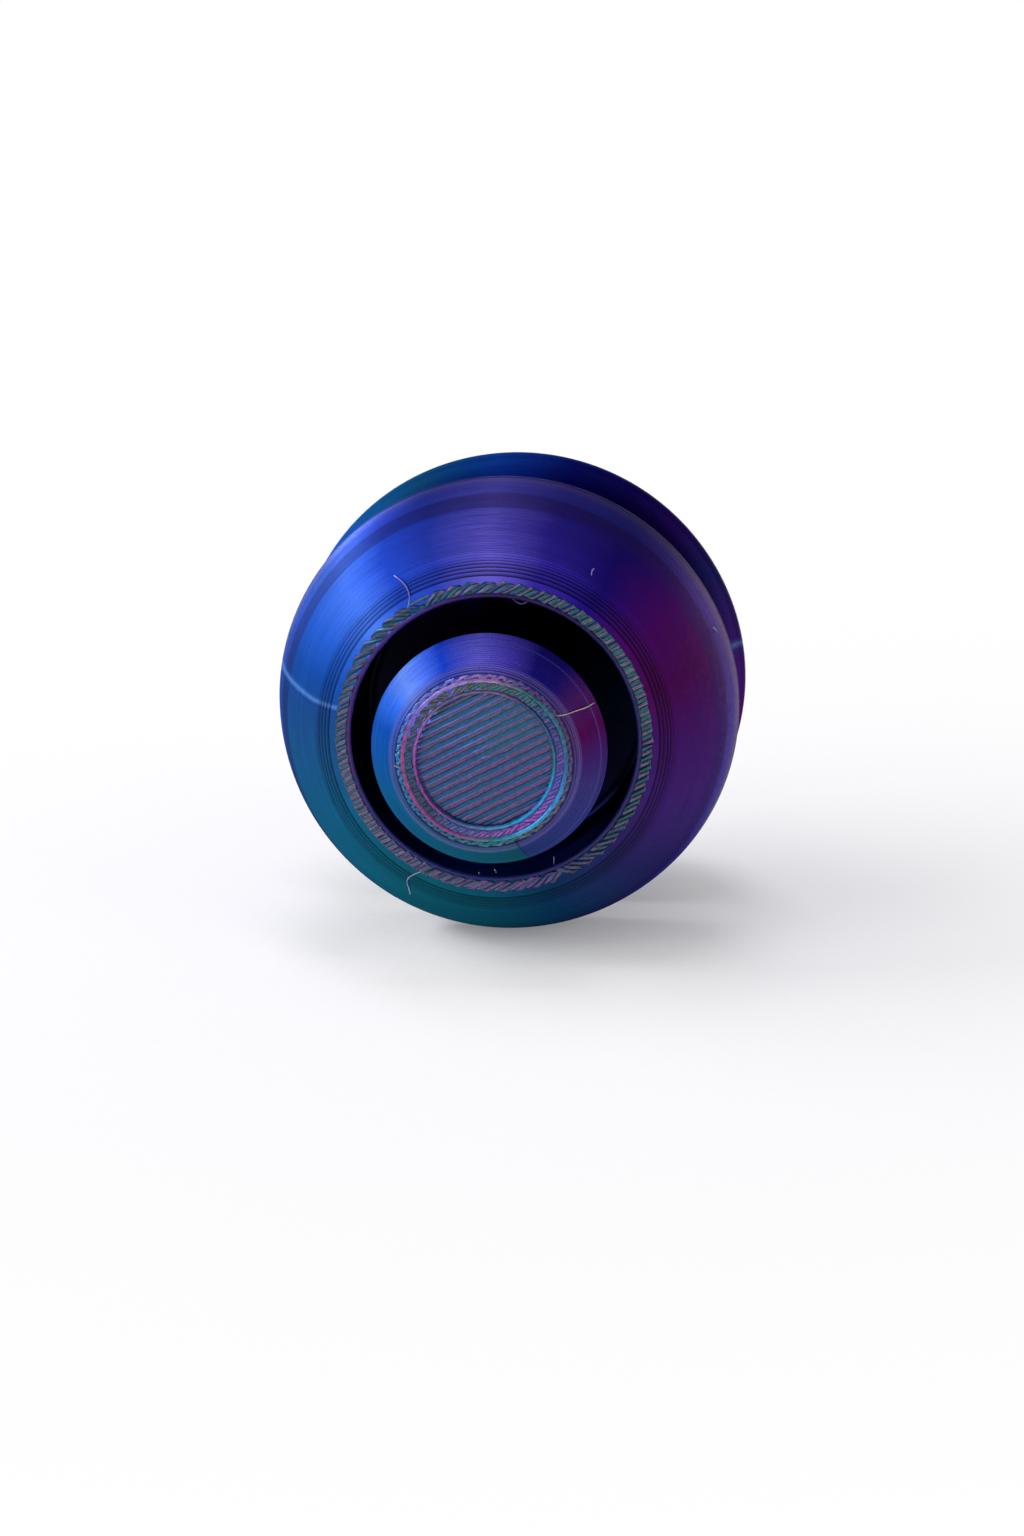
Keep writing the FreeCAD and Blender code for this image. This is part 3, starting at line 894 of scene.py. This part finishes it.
dome_hairs = hairs(
    "front_half_strings",
    [RIM] + DOME,
    [
        [
            (123.2, 20.5, -0.4),
            (120.5, 20.5, 0.3),
            (119.6, 20.2, 0.45),
            (120.2, 19.6, 0.4),
            (122.2, 18.7, 0.15),
        ],
        [(59.8, 18.5, 0.1), (60.6, 18.1, 0.25), (60.0, 17.7, 0.1)],
        [(23.8, 9.6, 0.05), (23.0, 9.4, 0.2), (22.2, 9.1, 0.05)],
        [
            (243.2, 20.5, -0.4),
            (240.0, 20.4, 0.3),
            (239.3, 20.0, 0.4),
            (242.2, 19.3, 0.35),
            (242.8, 18.3, 0.1),
        ],
        [(263.6, 20.5, -1.7), (263.9, 20.7, -1.5), (264.2, 20.6, -1.1)],
        [(270.6, 20.5, -1.8), (271.0, 21.0, -2.0), (270.2, 21.4, -2.3)],
        [(294.6, 20.5, -1.5), (295.2, 20.9, -1.8), (296.2, 21.1, -2.3)],
        [
            (84.0, 20.5, -1.5),
            (80.5, 20.7, -2.1),
            (77.5, 20.7, -2.0),
            (74.5, 20.6, -1.1),
        ],
    ],
    0.1,
)
dome_hairs.data.materials.append(thread_material("silk PLA, drawn threads", "c4c0e4", "6a68b8"))
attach(dome_hairs, "yoyo")
knob_hairs = hairs(
    "front_knob_strings",
    knob_crown,
    [
        [
            (26.0, 25.0, 0.05),
            (26.8, 26.4, 0.25),
            (28.8, 27.6, 0.3),
            (31.5, 28.9, 0.1),
            (34.0, 29.1, -0.3),
            (38.5, 29.1, -1.1),
        ],
        [(184.3, 29.0, 0.05), (186.0, 29.05, -0.1), (187.0, 29.1, -0.5)],
        [(351.5, 29.1, -2.6), (349.5, 28.9, -2.2), (346.8, 28.7, -2.0)],
        [(114.0, 29.1, -2.2), (114.6, 28.8, -2.6), (115.5, 28.6, -2.9)],
    ],
    0.09,
)
knob_hairs.data.materials.append(thread_material("silk PLA, pale drawn thread", "e8dcc0", "b89c9c"))
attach(knob_hairs, "front_knob")


# String bearing, 6.35 x 12.7 x 4.76 mm, between the halves: hardened steel rings ground and polished, balls
# in a pressed cage, and thin pressed shields held in by snap rings. A string's loop sits on its outer ring.
def turned_metal(name, base, dark, rough, pitch, worn=0.0):
    """A turned or ground metal: even shine with fine rings round the axle from the tool or wheel. The rings
    are drawn at their pitch in millimetres, coarser than the real marks, which are too fine to show."""
    material, tree = new_material(name)
    place = add(tree, "TexCoord").outputs["Object"]
    axes = add(tree, "SeparateXYZ", {0: place})
    flat = add(tree, "CombineXYZ", {0: axes.outputs["X"], 1: axes.outputs["Z"]}).outputs[0]
    away = add(tree, "VectorMath", {0: flat}, operation="LENGTH").outputs[1]
    both = add(tree, "Math", {0: away, 1: axes.outputs["Y"]}, operation="ADD").outputs[0]
    rings = {"W": both, "Scale": 1 / (pitch * MM), "Detail": 3.0}
    rings = add(tree, "TexNoise", rings, noise_dimensions="1D").outputs[0]
    smudge = add(tree, "TexNoise", {"Vector": place, "Scale": 320.0, "Detail": 4.0}).outputs[0]
    mixed = add(tree, "Math", {0: rings, 1: smudge}, operation="MULTIPLY").outputs[0]
    ramp = add(tree, "ValToRGB", {0: mixed})
    set_stops(ramp, [(0.12, dark), (0.32, base)])
    shine = add(tree, "MapRange", {0: smudge, 3: rough - 0.05, 4: rough + 0.12 + worn}).outputs[0]
    bump = add(tree, "Bump", {"Height": rings, "Strength": 0.2, "Distance": 0.00002})
    tangent = add(tree, "Tangent", direction_type="RADIAL", axis="Y")
    shader = add(
        tree,
        "BsdfPrincipled",
        {
            "Base Color": ramp.outputs[0],
            "Metallic": 1.0,
            "Roughness": shine,
            "Anisotropic": 0.4,
            "Anisotropic Rotation": 0.25,
            "Tangent": tangent.outputs[0],
            "Normal": bump.outputs[0],
        },
    )
    finish_material(tree, shader)
    return material


def dress(material, *names):
    """Give carried-over nodes their finish."""
    for name in names:
        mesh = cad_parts[name].data
        mesh.materials.clear()
        mesh.materials.append(material)


bearing_steel = turned_metal("bearing steel, ground", "c8cace", "9a9ca2", 0.16, 0.06)
dress(bearing_steel, "string_bearing_inner_ring", "string_bearing_outer_ring", "string_bearing_balls")
pressed_steel = turned_metal("stainless sheet, pressed", "b8babf", "85888e", 0.26, 0.2)
dress(pressed_steel, "string_bearing_shields", "string_bearing_cage")
spring_steel = turned_metal("spring steel wire, rolled", "8c9098", "5c6068", 0.3, 0.1)
dress(spring_steel, "string_bearing_clips")


# Knob bearings, 4 x 10 x 4 mm, one in each knob: the same ground steel rings and pressed shields, pressed
# into the knob's bore and held by its snap lip.
for end in ("front", "rear"):
    dress(
        bearing_steel,
        end + "_knob_bearing_inner_ring",
        end + "_knob_bearing_outer_ring",
        end + "_knob_bearing_balls",
    )
    dress(pressed_steel, end + "_knob_bearing_shields", end + "_knob_bearing_cage")


# Bearing seats: flanged bushes of brass, turned on a lathe and pressed into the halves' webs. They carry the
# string bearing's inner ring.
seat_brass = turned_metal("brass, turned", "d8b05c", "a87c34", 0.22, 0.09)
dress(seat_brass, "front_bearing_seat", "rear_bearing_seat")


# Axle, nuts, shims and sleeves: a stainless M4 stud, zinc plated hexagon nuts, and plain aluminium tube cut
# to length on a lathe.
axle_steel = turned_metal("stainless steel, rolled stud", "b4b6ba", "7c7e84", 0.24, 0.35)
dress(axle_steel, "axle")
zinc = turned_metal("zinc plate, clear passivated", "c4cad2", "8f98a8", 0.3, 0.4, worn=0.1)
dress(zinc, "hub_nuts", "knob_nuts", "knob_shims")
sleeve_aluminium = turned_metal("aluminium tube, turned", "c4c6c8", "94969a", 0.28, 0.12)
dress(sleeve_aluminium, "front_sleeve", "rear_sleeve")


# Response pads: rings of silicone, poured into grooves in the inner walls and left to set there. They are
# soft and slightly dusty, and grip the string.
def silicone(name, base, dust):
    """Poured silicone: waxy and soft-edged in its shine, with lint on its face."""
    material, tree = new_material(name)
    place = add(tree, "TexCoord").outputs["Object"]
    lint = {"Vector": place, "Scale": 700.0, "Detail": 6.0, "Roughness": 0.7}
    lint = add(tree, "TexNoise", lint).outputs[0]
    ramp = add(tree, "ValToRGB", {0: lint})
    set_stops(ramp, [(0.45, base), (0.72, dust)])
    bump = add(tree, "Bump", {"Height": lint, "Strength": 0.25, "Distance": 0.00005})
    shader = add(
        tree,
        "BsdfPrincipled",
        {
            "Base Color": ramp.outputs[0],
            "Roughness": 0.55,
            "IOR": 1.41,
            "Subsurface Weight": 0.15,
            "Subsurface Scale": 0.001,
            "Normal": bump.outputs[0],
        },
    )
    finish_material(tree, shader)
    return material


dress(silicone("silicone, poured", "d8d8dc", "b4b6c0"), "front_response_pad", "rear_response_pad")


# Floor: a sheet of matt white board, on which the yo-yo stands on both its rims. It keeps the soft shadow
# near the yo-yo and is plain white further off.
FLOOR_HALF_WIDTH = 40000.0
corners = [(-1, -1), (1, -1), (1, 1), (-1, 1)]
corners = [(x * FLOOR_HALF_WIDTH, y * FLOOR_HALF_WIDTH, -RIM[0]) for x, y in corners]
floor = new_piece("floor", corners, [[0, 1, 2, 3]])
board, tree = new_material("matt white board")
board_place = add(tree, "NewGeometry").outputs["Position"]
# How much of the board is plain white grows with the distance from where the yo-yo stands.
WHITE_FROM = 0.16
board_way = {0: board_place, 1: (0.0, 0.0, -RIM[0] * MM)}
board_way = add(tree, "VectorMath", board_way, operation="SUBTRACT").outputs[0]
board_far = add(tree, "VectorMath", {0: board_way}, operation="LENGTH").outputs[1]
board_level = add(tree, "MapRange", {0: board_far, 1: 0.0, 2: WHITE_FROM}).outputs[0]
board_share_ramp = add(tree, "ValToRGB", {0: board_level})
white_shares = [(0.0, 0.1), (0.19, 0.5), (0.4, 0.72), (0.7, 0.9), (1.0, 1.0)]
set_stops(board_share_ramp, [(level, "ffffff", share) for level, share in white_shares])
board_share = board_share_ramp.outputs["Alpha"]


def where_seen(tree, share):
    """Keep a share where the eye, a reflection or a clear body sees the surface, and not in its light."""
    rays = add(tree, "LightPath").outputs
    seen = {0: rays["Is Camera Ray"], 1: rays["Is Glossy Ray"]}
    seen = add(tree, "Math", seen, operation="MAXIMUM").outputs[0]
    seen = add(tree, "Math", {0: seen, 1: rays["Is Transmission Ray"]}, operation="MAXIMUM").outputs[0]
    return add(tree, "Math", {0: share, 1: seen}, operation="MULTIPLY").outputs[0]


white_share = where_seen(tree, board_share)
board_grain = {"Vector": board_place, "Scale": 1500.0, "Detail": 4.0}
board_grain = add(tree, "TexNoise", board_grain).outputs[0]
board_ramp = add(tree, "ValToRGB", {0: board_grain})
set_stops(board_ramp, [(0.3, "f2f1f3"), (0.7, "f6f5f7")])
matt = add(tree, "BsdfDiffuse", {"Color": board_ramp.outputs[0], "Roughness": 0.6})
white = add(tree, "Emission", {"Color": linear("ffffff"), "Strength": 1.0})
board_mix = {0: white_share, 1: matt.outputs[0], 2: white.outputs[0]}
finish_material(tree, add(tree, "MixShader", board_mix))
floor.data.materials.append(board)


# Light: a long soft box at the upper left, another overhead, two weak ones in front, and a dim even room with
# a white wall. The lamps stand clear of the view.
def soft_box(name, place, width, height, power, tint):
    """A flat lamp that faces the yo-yo, with its place and size in metres and its power in watts."""
    lamp = bpy.data.lights.new(name, "AREA")
    lamp.shape = "RECTANGLE"
    lamp.size, lamp.size_y = width, height
    lamp.energy = power
    lamp.color = linear(tint)[:3]
    holder = bpy.data.objects.new(name, lamp)
    holder.location = place
    holder.rotation_mode = "QUATERNION"
    holder.rotation_quaternion = (-Vector(place)).to_track_quat("-Z", "Y")
    bpy.context.scene.collection.objects.link(holder)


soft_box("key_soft_box", (-0.5, 0.06, 0.31), 0.62, 0.09, 3.5, "ffffff")
soft_box("front_soft_box", (-0.42, -0.42, 0.3), 0.24, 0.24, 1.0, "ffffff")
soft_box("top_soft_box", (-0.05, 0.1, 0.56), 0.16, 0.5, 1.6, "f4f2ff")
soft_box("right_fill", (0.55, -0.35, 0.25), 0.3, 0.3, 0.5, "ffffff")
room = bpy.data.worlds.new("room")
bpy.context.scene.world = room
room.use_nodes = True
tree = room.node_tree
tree.nodes.clear()
room_light = add(tree, "Background", {"Color": linear("d8dcec"), "Strength": 0.22})
# Low down, the room's wall shows as white as the board, and fades to the dim light higher up.
WALL_WHITE_TO, WALL_FADED_AT = 0.05, 0.2
room_way = add(tree, "TexCoord").outputs["Generated"]
room_height = add(tree, "SeparateXYZ", {0: room_way}).outputs["Z"]
wall_share = {0: room_height, 1: WALL_WHITE_TO, 2: WALL_FADED_AT, 3: 1.0, 4: 0.0}
wall_share = where_seen(tree, add(tree, "MapRange", wall_share).outputs[0])
wall = add(tree, "Background", {"Color": linear("ffffff"), "Strength": 1.0})
room_mix = add(tree, "MixShader", {0: wall_share, 1: room_light.outputs[0], 2: wall.outputs[0]})
add(tree, "OutputWorld", {"Surface": room_mix.outputs[0]})


# Camera: a long lens about 0.45 m away, a little above the front and to its right. Its place is in metres.
# Its facing is given by the way to its right and the way back from what it sees.
LENS, FILM_WIDTH = 105.47, 36.0
camera = bpy.data.objects.new("camera", bpy.data.cameras.new("camera"))
bpy.context.scene.collection.objects.link(camera)
camera.data.lens = LENS
camera.data.sensor_width = FILM_WIDTH
camera.data.clip_start = 0.01
camera.rotation_mode = "QUATERNION"
right = Vector((0.995, 0.0997, 0.0)).normalized()
back = Vector((0.0964, -0.9623, 0.2544)).normalized()
up = back.cross(right).normalized()
right = up.cross(back)
facing = Matrix((right, up, back)).transposed()
camera.location = (0.0437, -0.4388, 0.1077)
camera.rotation_quaternion = facing.to_quaternion()
bpy.context.scene.camera = camera

bpy.context.view_layer.update()
